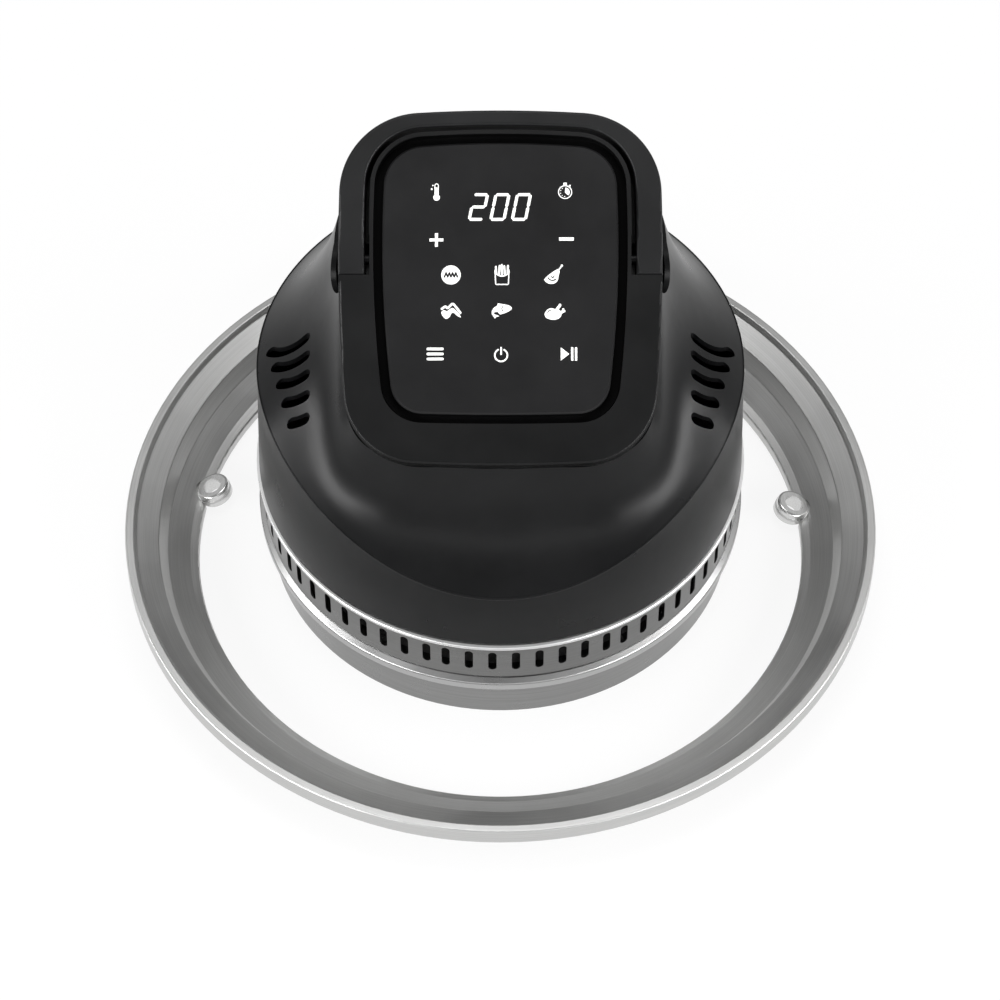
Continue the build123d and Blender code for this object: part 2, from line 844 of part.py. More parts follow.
def control_bezel():
    """The bezel round the glass, the rim inside the grip and the tray under it."""
    inner = groove_width
    rim_edge = lens_half_width + groove_width + rim_wall
    floor_low = groove_floor + floor_thickness
    front = extrude(neck_outline(), amount=-bezel_depth)
    front = PANEL * fillet(front.faces().sort_by(Axis.Z)[-1].edges(), grip_edge)
    front = front - slab(neck_outline(grow=-bezel_skin), bezel_skin, bezel_depth + over) - behind(pivot_v)
    tray = slab(neck_outline(neck_rear_inset), tray_top, tray_top + tray_thickness) & behind(pivot_v)
    seat = across(pivot_seat_radius + seat_gap + tray_thickness, rim_edge, neck_half_width + clear_round)
    seat = seat & slab(neck_outline(), 0, pivot_depth + 3 * pivot_seat_radius)
    rim = slab(lens_outline(inner + rim_wall), 0, tray_top + tray_thickness)
    body = front + tray + seat + rim
    body = body - slab(lens_outline(inner), -over, tray_top + tray_thickness + over) - grip_space()
    body = body + slab(lens_outline(inner + rim_wall / 2), groove_floor, floor_low)
    body = body + slab(lens_outline(-lens_seat_inset), lens_thickness, floor_low)
    body = body - slab(lens_outline(-lens_ledge), -over, floor_low + over)
    body = body + across(pin_boss, pin_inner, lens_half_width + inner + rim_wall / 2)
    for peg in pegs(board_screw_places, stand_off_radius, groove_floor, floor_low + board_gap):
        body = body + peg
    stand_low = floor_low + board_gap
    for hole in pegs(board_screw_places, small_screw, lens_thickness + small_skin, stand_low + over):
        body = body - hole
    body = body - across(pin_radius, pin_inner, pin_outer)
    u, v = plunger_place
    wing = switch_size[0] / 2
    bracket = on_panel(u - wing, v, tray_top + tray_thickness / 2) * Box(
        switch_bracket, switch_size[1], switch_depth() - tray_top, align=(Align.MAX, Align.CENTER, Align.MAX))
    body = body + bracket
    bore = plunger_radius + plunger_clearance
    low = tray_top + 3 * tray_thickness
    return body - pegs([plunger_place], bore, tray_top - over, low, both_sides=False)[0]


def switch_depth():
    """Depth of the lower face of the micro switch."""
    return tray_top + tray_thickness + plunger_travel + plunger_flange_height + plunger_tail + switch_size[2]


def control_lens():
    """The touch glass, with a bevelled edge."""
    glass = extrude(lens_outline(), amount=-lens_thickness)
    return PANEL * chamfer(glass.faces().sort_by(Axis.Z)[-1].edges(), lens_bevel)


def board_level():
    """Depth of the display board's upper face."""
    return groove_floor + floor_thickness + board_gap


def display_board():
    """The board under the glass, notched round the grip's pin bosses."""
    board = slab(lens_outline(-board_inset), board_level(), board_level() + board_sheet)
    board = board - across(pin_boss + board_notch, pin_inner - board_notch, neck_half_width)
    return board - joined(pegs(board_screw_places, small_screw, 0, board_level() + board_sheet + over))


def board_screws():
    """Screws up through the board into the bezel's stand-offs."""
    back = board_level() + board_sheet
    shanks = pegs(board_screw_places, small_screw, lens_thickness + small_skin, back)
    heads = pegs(board_screw_places, small_head, back, back + small_head_height)
    return joined([shank + head for shank, head in zip(shanks, heads)])


def digit_display():
    """The block of lit digits behind the glass."""
    height = board_level() - lens_thickness - digit_gap
    return on_panel(*digit_place, board_level()) * Box(
        *digit_size, height, align=(Align.CENTER, Align.CENTER, Align.MIN))


def touch_posts():
    """A sensing post from the board to the glass under each touch symbol."""
    return joined(pegs(touch_places, touch_radius, lens_thickness, board_level(), both_sides=False))


# Grip

def grip_part(low, high, end_high):
    """A layer of the U-shaped grip between two depths, its ends rounded about the pivot."""
    hole = lens_outline(groove_width + rim_wall + grip_gap)
    arms = (slab(neck_outline(), low, high) - slab(hole, low - over, high + over)) & behind(pivot_v)
    ends = slab(neck_outline(), low, end_high) - slab(hole, low - over, end_high + over)
    ends = ends & across(pivot_seat_radius, lens_half_width, neck_half_width + clear_round)
    return arms + ends


def grip_pocket(low, high):
    """The hollow in a layer of the grip, clear of its solid ends."""
    inner = groove_width + rim_wall + grip_gap + grip_wall
    inside = neck_outline(grow=-grip_wall) - lens_outline(inner)
    return slab(inside, low, high) & behind(pivot_v + pivot_seat_radius + grip_solid)


def pin_bores():
    """Blind bores in the grip's ends for the hinge pins."""
    return across(pin_radius + pin_clearance, lens_half_width, pin_outer + running_gap)


def grip_cover():
    """The upper half of the grip, hollow underneath, with its upper edges rounded."""
    cover = grip_part(0, grip_shell, grip_shell)
    cover = fillet([edge for edge in cover.edges() if on_surface(edge)], grip_edge)
    cover = cover - grip_pocket(grip_wall, grip_shell + over)
    cover = cover + joined(grip_bosses(grip_wall / 2, grip_shell))
    return cover - pin_bores() - joined(pegs(grip_screw_places, small_screw, grip_wall, grip_shell + over))


def on_surface(edge):
    """Whether an edge lies in the panel's surface."""
    return all(abs(PANEL.to_local_coords(edge.position_at(t)).Z) < 0.001 for t in (0, 0.5, 1))


def grip_bosses(low, high):
    """Screw bosses inside the grip."""
    return pegs(grip_screw_places, 2 * small_screw, low, high)


def grip_base():
    """The lower half of the grip, hollow on top."""
    floor = grip_thickness - grip_wall
    base = grip_part(grip_shell, grip_thickness, pivot_depth + pivot_seat_radius + over)
    base = base - grip_pocket(grip_shell - over, floor)
    base = base + joined(grip_bosses(grip_shell, floor + grip_wall / 2))
    base = base - joined(pegs(grip_screw_places, small_screw, 0, grip_thickness + over))
    sinks = pegs(grip_screw_places, small_head, grip_thickness - small_head_height, grip_thickness + over)
    base = base - joined(sinks)
    return base - pin_bores()


def grip_screws():
    """Screws up through the lower half of the grip into the upper half."""
    seat = grip_thickness - small_head_height
    shanks = pegs(grip_screw_places, small_screw, grip_wall + over, seat)
    heads = pegs(grip_screw_places, small_head, seat, grip_thickness - grip_head_inset)
    return joined([shank + head for shank, head in zip(shanks, heads)])


def hinge_pins():
    """The two pins pressed into the bezel on which the grip turns."""
    return joined([across(pin_radius, pin_inner, pin_outer)])


# Switch under the grip

def switch_plunger():
    """The pin that the folded grip holds down, with its flange under the tray."""
    top = grip_thickness + plunger_below_grip
    flange = tray_top + tray_thickness + plunger_travel
    tail = flange + plunger_flange_height + plunger_tail
    place = [plunger_place]
    pin = pegs(place, plunger_radius, top, tail, both_sides=False)[0]
    return pin + pegs(place, plunger_flange, flange, flange + plunger_flange_height, both_sides=False)[0]


def micro_switch():
    """The switch block under the plunger."""
    u, v = plunger_place
    return on_panel(u, v, switch_depth()) * Box(*switch_size, align=(Align.CENTER, Align.CENTER, Align.MIN))


# Power electronics

def power_board():
    """The power board behind the motor."""
    return Pos(*power_place, power_height) * Box(*power_size, board_sheet, align=(
        Align.CENTER, Align.CENTER, Align.MIN))


def board_stands():
    """Four pillars from the plate to the power board."""
    shapes = []
    for sx in (-1, 1):
        for sy in (-1, 1):
            x = power_place[0] + sx * (power_size[0] / 2 - power_stand_inset)
            y = power_place[1] + sy * (power_size[1] / 2 - power_stand_inset)
            shapes.append(Pos(x, y, 0) * disc(power_stand_off, housing_base, power_height))
    return joined(shapes)


def on_power_board(x, y, shape):
    """A shape standing on the power board at that place on it."""
    return Pos(power_place[0] + x, power_place[1] + y, power_height + board_sheet) * shape


def transformer():
    """The small transformer, with its winding inside a laminated core."""
    wide, long, tall = transformer_size
    side, end, edge = winding_inset
    up = (Align.CENTER, Align.CENTER, Align.MIN)
    core = Box(wide, long - 2 * end, tall, align=up)
    coil = Pos(0, 0, edge) * Box(wide - 2 * side, long, tall - 2 * edge, align=up)
    return on_power_board(*transformer_place, core + coil)


def relays():
    """Two relays side by side."""
    block = Box(*relay_size, align=(Align.CENTER, Align.CENTER, Align.MIN))
    return joined([on_power_board(*place, block) for place in relay_places])


def capacitors():
    """Two round capacitors."""
    can = Cylinder(capacitor_radius, capacitor_height, align=(Align.CENTER, Align.CENTER, Align.MIN))
    return joined([on_power_board(*place, can) for place in capacitor_places])


# Rim ring

def eyelet_place(side):
    """The frame of one eyelet, leaning outwards at its top."""
    turn = eyelet_turn_right if side > 0 else eyelet_turn_left
    return Pos(0, ring_centre, eyelet_centre_height) * Rot(0, 0, turn) * Pos(
        side * eyelet_circle, 0, 0) * Rot(0, side * eyelet_lean, 0)


def rim_ring():
    """The stepped steel ring with a rolled outer edge, and a holed tab for each eyelet."""
    rim_top = ring_height - ring_rim_drop
    points = [(ring_outer, ring_height - ring_wall), (ring_outer, ring_height),
              (ring_outer - ring_rim, ring_height), (ring_outer - ring_rim_slope * ring_rim, rim_top),
              (ring_shelf_radius, ring_shelf), (ring_step_radius, ring_step),
              (ring_foot_radius, ring_foot), (ring_inner, ring_lip), (ring_inner, 0)]
    ring = Pos(0, ring_centre, 0) * revolved_sheet(points, ring_sheet, ring_bend)
    space = Pos(0, ring_centre, 0) * disc(ring_inner + ring_sheet / 2, -ring_height, ring_height)
    for side in (-1, 1):
        ring = ring - eyelet_place(side) * Cylinder(eyelet_radius + running_gap, 3 * eyelet_height)
        arm = Box(3 * eyelet_radius, eyelet_tab_width, eyelet_tab, align=(
            Align.MIN if side > 0 else Align.MAX, Align.CENTER, Align.CENTER))
        tab = eyelet_place(side) * (arm + Cylinder(eyelet_tab_width / 2, eyelet_tab))
        ring = ring + (tab & space)
        ring = ring - eyelet_place(side) * Cylinder(eyelet_bore + eyelet_grip, 3 * eyelet_tab)
    return ring


def eyelets():
    """Two pressed eyelets gripping the ring's tabs from above and below."""
    shapes = []
    for side in (-1, 1):
        ring = Cylinder(eyelet_radius, eyelet_height)
        ring = fillet(ring.edges().filter_by(GeomType.CIRCLE), eyelet_edge) - Cylinder(eyelet_bore, 2 * eyelet_height)
        waist = Cylinder(2 * eyelet_radius, eyelet_tab) - Cylinder(eyelet_bore + eyelet_grip, eyelet_height)
        shapes.append(eyelet_place(side) * (ring - waist))
    return joined(shapes)


os.makedirs("parts", exist_ok=True)
save("pot_skirt", pot_skirt())
save("heat_shield", heat_shield())
save("vent_band", vent_band())
save("band_screws", band_screws())
save("chassis_plate", chassis_plate())
save("housing_screws", housing_screws())
save("guard_grille", guard_grille())
save("guard_posts", guard_posts())
save("guard_screws", guard_screws())
save("heating_coil", heating_coil())
save("coil_brackets", coil_brackets())
save("coil_bushes", coil_bushes())
save("temperature_probe", temperature_probe())
save("fan_shaft", fan_shaft())
save("convection_fan", fan(hot_fan_radius, hot_fan_height, hot_fan_base, hot_fan_blades, blade_sweep))
save("cooling_fan", fan(cool_fan_radius, cool_fan_height, cool_fan_base, cool_fan_blades, -blade_sweep, False))
save("fan_nut", fan_nut())
save("motor_armature", motor_armature())
save("motor_stator", motor_stator())
save("motor_case", motor_case())
save("motor_mounts", motor_mounts())
save("thermal_cutout", thermal_cutout())
save("lower_housing", lower_housing())
save("upper_housing", upper_housing())
save("mains_inlet", mains_inlet())
save("inlet_blades", inlet_blades())
save("control_bezel", control_bezel())
save("control_lens", control_lens())
save("display_board", display_board())
save("board_screws", board_screws())
save("digit_display", digit_display())
save("touch_posts", touch_posts())
save("hinge_pins", hinge_pins())
save("grip_cover", grip_cover())
save("grip_base", grip_base())
save("grip_screws", grip_screws())
save("switch_plunger", switch_plunger())
save("micro_switch", micro_switch())
save("power_board", power_board())
save("board_stands", board_stands())
save("transformer", transformer())
save("relays", relays())
save("capacitors", capacitors())
save("rim_ring", rim_ring())
save("eyelets", eyelets())
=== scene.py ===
import json
import math

import bpy
import numpy as np
from mathutils import Matrix, Vector


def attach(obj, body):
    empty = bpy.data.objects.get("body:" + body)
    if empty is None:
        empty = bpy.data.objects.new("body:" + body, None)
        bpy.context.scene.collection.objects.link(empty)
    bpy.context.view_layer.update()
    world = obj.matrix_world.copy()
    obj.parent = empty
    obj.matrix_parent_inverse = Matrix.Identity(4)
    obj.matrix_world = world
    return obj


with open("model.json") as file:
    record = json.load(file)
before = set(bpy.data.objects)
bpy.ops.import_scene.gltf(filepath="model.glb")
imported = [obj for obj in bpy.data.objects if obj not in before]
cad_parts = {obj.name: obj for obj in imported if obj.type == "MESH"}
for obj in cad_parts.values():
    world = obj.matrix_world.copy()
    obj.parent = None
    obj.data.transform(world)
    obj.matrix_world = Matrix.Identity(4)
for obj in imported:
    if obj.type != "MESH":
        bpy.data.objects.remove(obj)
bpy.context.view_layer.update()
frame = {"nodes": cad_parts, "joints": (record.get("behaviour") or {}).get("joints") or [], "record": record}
nodes = frame["nodes"]
print("frame loaded:", len(nodes), "nodes")

mm = 0.001


# Camera and studio light

cameraView = {
    "elevation": 51.47,             # degrees above the table
    "distance": 1.5729,
    "target": (0, 0, 0.059),
    "picturePixels": 1000,          # width and height that the next two are given for
    "focalPixels": 3421.6,
    "centrePixel": (500.4, 443.3),
    "sensorWidth": 36,
    "clip": (0.05, 30),
}


def addCamera(view):
    # the camera sits in front of the lid and looks at its axis, and the picture's centre is shifted
    lift = math.radians(view["elevation"])
    camera = bpy.data.cameras.new("photoCamera")
    size = view["picturePixels"]
    camera.sensor_width = view["sensorWidth"]
    camera.lens = view["focalPixels"] / size * camera.sensor_width
    camera.shift_x = (size / 2 - view["centrePixel"][0]) / size
    camera.shift_y = (view["centrePixel"][1] - size / 2) / size
    camera.clip_start, camera.clip_end = view["clip"]
    holder = bpy.data.objects.new("photoCamera", camera)
    away = view["distance"]
    x, y, z = view["target"]
    holder.location = (x, y - away * math.cos(lift), z + away * math.sin(lift))
    holder.rotation_euler = (math.pi / 2 - lift, 0, 0)
    bpy.context.scene.collection.objects.link(holder)
    bpy.context.scene.camera = holder


studio = {
    # name: one end, other end, width across, watts
    "topSoftbox": ((-0.55, 0.35, 1.75), (0.55, 0.35, 1.75), 0.7, 10),
    "leftStrip": ((-1.45, 0.1, 0.62), (-0.8, -1.25, 0.6), 0.2, 16),
    "rightStrip": ((1.45, 0.1, 0.62), (0.8, -1.25, 0.6), 0.2, 16),
    "frontFill": ((-0.8, -1.9, 1.1), (0.8, -1.9, 1.1), 0.4, 2),
    "aim": (0, 0, 0.12),
}

skyLook = {
    # grey of the studio at each height, given as the sine of the angle above the horizon
    "greys": ((-1.0, 0.5), (0.0, 0.6), (0.3, 0.75), (0.5, 0.82),
              (0.68, 0.42), (0.8, 0.22), (0.95, 0.4), (1.0, 0.5)),
    "fallFrom": 0.6,        # how far back the studio starts to darken, with 1 straight behind
    "backShare": 0.1,       # share of the grey that is left straight behind
}


def addLights(lights):
    # a lamp lies between its two ends, and its face is turned to the aim about that line
    aim = Vector(lights["aim"])
    for name in lights:
        if name == "aim":
            continue
        first, last, width, watts = lights[name]
        first, last = Vector(first), Vector(last)
        along = (last - first).normalized()
        away = (first + last) / 2 - aim
        away = (away - away.dot(along) * along).normalized()
        lamp = bpy.data.lights.new(name, "AREA")
        lamp.shape = "RECTANGLE"
        lamp.size, lamp.size_y = width, (last - first).length
        lamp.energy = watts
        holder = bpy.data.objects.new(name, lamp)
        holder.matrix_world = Matrix.Translation((first + last) / 2) @ Matrix(
            (along.cross(away), along, away)).transposed().to_4x4()
        bpy.context.scene.collection.objects.link(holder)


def addWorld(look):
    # a studio tent whose brightness changes with the height, and falls off towards the back
    world = bpy.data.worlds.new("studioWorld")
    world.use_nodes = True
    tree = world.node_tree
    place = tree.nodes.new("ShaderNodeTexCoord")
    part = tree.nodes.new("ShaderNodeSeparateXYZ")
    height = tree.nodes.new("ShaderNodeMapRange")
    height.inputs["From Min"].default_value = -1
    ramp = tree.nodes.new("ShaderNodeValToRGB")
    ramp.color_ramp.interpolation = "EASE"
    for k, (sine, grey) in enumerate(look["greys"]):
        at = (sine + 1) / 2
        stop = ramp.color_ramp.elements[k] if k < 2 else ramp.color_ramp.elements.new(at)
        stop.position = at
        stop.color = (grey, grey, grey, 1)
    tree.links.new(place.outputs["Generated"], part.inputs[0])
    tree.links.new(part.outputs["Z"], height.inputs["Value"])
    tree.links.new(height.outputs[0], ramp.inputs["Fac"])
    fall = tree.nodes.new("ShaderNodeMapRange")
    fall.inputs["From Min"].default_value = look["fallFrom"]
    fall.inputs["To Min"].default_value = 1
    fall.inputs["To Max"].default_value = look["backShare"]
    tree.links.new(part.outputs["Y"], fall.inputs["Value"])
    tree.links.new(fall.outputs[0], tree.nodes["Background"].inputs["Strength"])
    tree.links.new(ramp.outputs["Color"], tree.nodes["Background"].inputs["Color"])
    bpy.context.scene.world = world


addCamera(cameraView)
addLights(studio)
addWorld(skyLook)
bpy.context.scene.view_settings.view_transform = "Standard"
print("camera and lights set")


# Mesh and node helpers

def addNode(tree, kind, settings=None, **links):
    # one shader node with its fields set and its inputs linked or filled: an input goes by its label with _
    # for a space, or by i and its number
    node = tree.nodes.new(kind)
    for field, value in (settings or {}).items():
        setattr(node, field, value)
    for label, value in links.items():
        key = int(label[1:]) if label[0] == "i" and label[1:].isdigit() else label.replace("_", " ")
        if isinstance(value, bpy.types.NodeSocket):
            tree.links.new(value, node.inputs[key])
        else:
            node.inputs[key].default_value = value
    return node


def newGroup(name, inputs, outputs):
    # an empty shader group with number inputs, and its two end nodes
    group = bpy.data.node_groups.new(name, "ShaderNodeTree")
    for label, value in inputs.items():
        socket = group.interface.new_socket(label, in_out="INPUT", socket_type="NodeSocketFloat")
        socket.default_value = value
    for label, kind in outputs.items():
        group.interface.new_socket(label, in_out="OUTPUT", socket_type=kind)
    return group, group.nodes.new("NodeGroupInput"), group.nodes.new("NodeGroupOutput")


def meshFrom(name, points, faces, smooth=True):
    # a mesh from arrays of points and of faces' corners
    mesh = bpy.data.meshes.new(name)
    corners = [list(map(int, face)) for face in faces]
    mesh.from_pydata(np.asarray(points, dtype=float).tolist(), [], corners)
    mesh.polygons.foreach_set("use_smooth", [smooth] * len(mesh.polygons))
    mesh.update()
    piece = bpy.data.objects.new(name, mesh)
    bpy.context.scene.collection.objects.link(piece)
    return piece


def gridFaces(rows, columns, wrapRows=False, wrapColumns=False):
    # corner numbers of the quads of a grid, joined round where it closes
    i = np.arange(rows if wrapRows else rows - 1)
    j = np.arange(columns if wrapColumns else columns - 1)
    i, j = np.meshgrid(i, j, indexing="ij")
    nextI, nextJ = (i + 1) % rows, (j + 1) % columns
    corners = np.stack([i * columns + j, nextI * columns + j,
                        nextI * columns + nextJ, i * columns + nextJ], -1)
    return corners.reshape(-1, 4)


# Shared finishes

def fineGrainGroup():
    # moulded grain: a fine bump, and a broad cloud for small changes of gloss and tone
    group, start, end = newGroup(
        "fineGrain", {"Grain Size": 0.0006, "Grain Depth": 0.00002, "Cloud Size": 0.03},
        {"Normal": "NodeSocketVector", "Cloud": "NodeSocketFloat"})
    place = addNode(group, "ShaderNodeTexCoord")
    fine = addNode(group, "ShaderNodeMath", {"operation": "DIVIDE"}, i0=1.0,
                   i1=start.outputs["Grain Size"])
    grain = addNode(group, "ShaderNodeTexNoise", Vector=place.outputs["Object"], Scale=fine.outputs[0],
                    Detail=3.0, Roughness=0.6)
    bump = addNode(group, "ShaderNodeBump", Strength=1.0, Distance=start.outputs["Grain Depth"],
                   Height=grain.outputs["Fac"])
    broad = addNode(group, "ShaderNodeMath", {"operation": "DIVIDE"}, i0=1.0,
                    i1=start.outputs["Cloud Size"])
    cloud = addNode(group, "ShaderNodeTexNoise", Vector=place.outputs["Object"], Scale=broad.outputs[0],
                    Detail=4.0, Roughness=0.55)
    group.links.new(bump.outputs[0], end.inputs["Normal"])
    group.links.new(cloud.outputs["Fac"], end.inputs["Cloud"])
    return group


turnStretch = 2.2        # how fast the lines of spun metal change on the way round, per radian


def spunMetalGroup():
    # lines left by turning: noise stretched round the axis, so it changes mostly with radius and height
    group, start, end = newGroup(
        "spunMetal", {"Centre Y": 0.0, "Line Size": 0.0004, "Line Depth": 0.000004, "Cloud Size": 0.02},
        {"Normal": "NodeSocketVector", "Lines": "NodeSocketFloat", "Cloud": "NodeSocketFloat"})
    place = addNode(group, "ShaderNodeTexCoord")
    part = addNode(group, "ShaderNodeSeparateXYZ", Vector=place.outputs["Object"])
    x, z = part.outputs["X"], part.outputs["Z"]
    y = addNode(group, "ShaderNodeMath", {"operation": "SUBTRACT"}, i0=part.outputs["Y"],
                i1=start.outputs["Centre Y"]).outputs[0]
    turn = addNode(group, "ShaderNodeMath", {"operation": "ARCTAN2"}, i0=y, i1=x)
    xSquare = addNode(group, "ShaderNodeMath", {"operation": "MULTIPLY"}, i0=x, i1=x)
    square = addNode(group, "ShaderNodeMath", {"operation": "MULTIPLY_ADD"}, i0=y, i1=y,
                     i2=xSquare.outputs[0])
    radius = addNode(group, "ShaderNodeMath", {"operation": "SQRT"}, i0=square.outputs[0])
    count = addNode(group, "ShaderNodeMath", {"operation": "DIVIDE"}, i0=1.0,
                    i1=start.outputs["Line Size"])
    outward = addNode(group, "ShaderNodeMath", {"operation": "MULTIPLY"}, i0=radius.outputs[0],
                      i1=count.outputs[0])
    upward = addNode(group, "ShaderNodeMath", {"operation": "MULTIPLY"}, i0=z, i1=count.outputs[0])
    around = addNode(group, "ShaderNodeMath", {"operation": "MULTIPLY"}, i0=turn.outputs[0],
                     i1=turnStretch)
    joint = addNode(group, "ShaderNodeCombineXYZ", X=outward.outputs[0], Y=upward.outputs[0],
                    Z=around.outputs[0])
    lines = addNode(group, "ShaderNodeTexNoise", Vector=joint.outputs[0], Scale=1.0, Detail=3.0,
                    Roughness=0.7)
    bump = addNode(group, "ShaderNodeBump", Strength=1.0, Distance=start.outputs["Line Depth"],
                   Height=lines.outputs["Fac"])
    broad = addNode(group, "ShaderNodeMath", {"operation": "DIVIDE"}, i0=1.0,
                    i1=start.outputs["Cloud Size"])
    cloud = addNode(group, "ShaderNodeTexNoise", Vector=place.outputs["Object"], Scale=broad.outputs[0],
                    Detail=3.0, Roughness=0.5)
    group.links.new(bump.outputs[0], end.inputs["Normal"])
    group.links.new(lines.outputs["Fac"], end.inputs["Lines"])
    group.links.new(cloud.outputs["Fac"], end.inputs["Cloud"])
    return group


def heightBandGroup():
    # a mask that is one between two heights and falls to nothing over a short edge
    group, start, end = newGroup("heightBand", {"Low": 0.0, "High": 1.0, "Edge": 0.0004},
                                 {"Mask": "NodeSocketFloat"})
    place = addNode(group, "ShaderNodeTexCoord")
    part = addNode(group, "ShaderNodeSeparateXYZ", Vector=place.outputs["Object"])
    above = addNode(group, "ShaderNodeMath", {"operation": "SUBTRACT"}, i0=part.outputs["Z"],
                    i1=start.outputs["Low"])
    below = addNode(group, "ShaderNodeMath", {"operation": "SUBTRACT"}, i0=start.outputs["High"],
                    i1=part.outputs["Z"])
    inside = addNode(group, "ShaderNodeMath", {"operation": "MINIMUM"}, i0=above.outputs[0],
                     i1=below.outputs[0])
    share = addNode(group, "ShaderNodeMath", {"operation": "DIVIDE", "use_clamp": True}, i0=inside.outputs[0],
                    i1=start.outputs["Edge"])
    group.links.new(share.outputs[0], end.inputs["Mask"])
    return group


heightBand = heightBandGroup()
fineGrain = fineGrainGroup()
spunMetal = spunMetalGroup()

noiseSpan = (0.3, 0.7)           # the values that noise mostly keeps between
mixA, mixB, mixed = 6, 7, 2      # a Mix node's two colour inputs and its colour output


def newMaterial(name):
    # a new material, its node tree and its shader
    material = bpy.data.materials.new(name)
    material.use_nodes = True
    tree = material.node_tree
    return material, tree, tree.nodes["Principled BSDF"]


def useGroup(tree, group, **values):
    # a shared group put in a material, its inputs filled by label
    node = tree.nodes.new("ShaderNodeGroup")
    node.node_tree = group
    for label, value in values.items():
        node.inputs[label.replace("_", " ")].default_value = value
    return node


def spread(tree, value, low, high):
    # noise turned into a number between low and high
    return addNode(tree, "ShaderNodeMapRange", Value=value, From_Min=noiseSpan[0],
                   From_Max=noiseSpan[1], To_Min=low, To_Max=high).outputs[0]


def blendColours(tree, mask, dark, light):
    # dark where the mask is nothing, light where it is one
    mix = addNode(tree, "ShaderNodeMix", {"data_type": "RGBA"})
    tree.links.new(mask, mix.inputs[0])
    mix.inputs[mixA].default_value = (*dark, 1)
    mix.inputs[mixB].default_value = (*light, 1)
    return mix.outputs[mixed]


mouldedShared = {
    "cloud": 0.03,
    "lift": 1.25, "haze": 0.0015,       # the lighter tone is the colour times the first plus the second
    "specular": 0.3,                    # unless the look has its own
}
spunShared = {"cloud": 0.02, "drop": 0.82}


def mouldedMaterial(name, look):
    # moulded plastic, rubber or ceramic: even colour, fine grain, small changes of gloss
    material, tree, shader = newMaterial(name)
    grain = useGroup(tree, fineGrain, Grain_Size=look["grain"], Grain_Depth=look["depth"],
                     Cloud_Size=mouldedShared["cloud"])
    dark = look["colour"]
    light = tuple(c * mouldedShared["lift"] + mouldedShared["haze"] for c in dark)
    tree.links.new(blendColours(tree, spread(tree, grain.outputs["Cloud"], 0, 1), dark, light),
                   shader.inputs["Base Color"])
    low, high = look["roughness"]
    tree.links.new(spread(tree, grain.outputs["Cloud"], low, high), shader.inputs["Roughness"])
    tree.links.new(grain.outputs["Normal"], shader.inputs["Normal"])
    shader.inputs["Specular IOR Level"].default_value = look.get("specular", mouldedShared["specular"])
    return material


def spunMaterial(name, look):
    # turned or brushed sheet metal, its lines running round the axis
    material, tree, shader = newMaterial(name)
    spun = useGroup(tree, spunMetal, Centre_Y=look.get("centreY", 0.0), Line_Size=look["line"],
                    Line_Depth=look["depth"], Cloud_Size=spunShared["cloud"])
    light = look["colour"]
    dark = tuple(c * spunShared["drop"] for c in light)
    colour = blendColours(tree, spread(tree, spun.outputs["Lines"], 0, 1), dark, light)
    # each band lays a flat grey over the metal between two heights: painted light, not a change in the metal
    for low, high, tone in look.get("paintedLightBands", ()):
        mask = useGroup(tree, heightBand, Low=low * mm, High=high * mm)
        mix = addNode(tree, "ShaderNodeMix", {"data_type": "RGBA"})
        tree.links.new(mask.outputs["Mask"], mix.inputs[0])
        tree.links.new(colour, mix.inputs[mixA])
        mix.inputs[mixB].default_value = (tone, tone, tone, 1)
        colour = mix.outputs[mixed]
    tree.links.new(colour, shader.inputs["Base Color"])
    low, high = look["roughness"]
    tree.links.new(spread(tree, spun.outputs["Cloud"], low, high), shader.inputs["Roughness"])
    tree.links.new(spun.outputs["Normal"], shader.inputs["Normal"])
    shader.inputs["Metallic"].default_value = 1.0
    return material


plastics = {
    "housing_black": {"colour": (0.004, 0.0041, 0.0044), "specular": 0.18,
                      "grain": 0.0005, "depth": 0.000008, "roughness": (0.27, 0.32)},
    "bezel_black": {"colour": (0.0035, 0.0036, 0.0038), "specular": 0.2,
                    "grain": 0.0004, "depth": 0.000006, "roughness": (0.34, 0.40)},
    # near black and almost matte: painted shade for the sheet laid in the groove round the glass, darker than
    # the plastic itself
    "painted_groove_shade": {"colour": (0.0012, 0.0012, 0.0013), "specular": 0.05,
                     "grain": 0.0006, "depth": 0.00001, "roughness": (0.7, 0.8)},
    "grip_black": {"colour": (0.0075, 0.0076, 0.008), "specular": 0.22,
                   "grain": 0.0004, "depth": 0.000008, "roughness": (0.36, 0.43)},
    "lens_black": {"colour": (0.009, 0.009, 0.0094), "specular": 0.22,
                   "grain": 0.002, "depth": 0.000001, "roughness": (0.2, 0.24)},
    "rubber_black": {"colour": (0.02, 0.02, 0.02),
                     "grain": 0.0006, "depth": 0.00003, "roughness": (0.7, 0.85)},
    "ceramic_white": {"colour": (0.75, 0.73, 0.68),
                      "grain": 0.0008, "depth": 0.00001, "roughness": (0.3, 0.45)},
    "board_green": {"colour": (0.02, 0.12, 0.045),
                    "grain": 0.0012, "depth": 0.00002, "roughness": (0.3, 0.5)},
    "part_black": {"colour": (0.02, 0.02, 0.021),
                   "grain": 0.0006, "depth": 0.00002, "roughness": (0.4, 0.55)},
    "part_blue": {"colour": (0.02, 0.05, 0.15),
                  "grain": 0.0006, "depth": 0.00001, "roughness": (0.3, 0.4)},
    "part_white": {"colour": (0.7, 0.7, 0.68),
                   "grain": 0.0006, "depth": 0.00001, "roughness": (0.4, 0.5)},
}

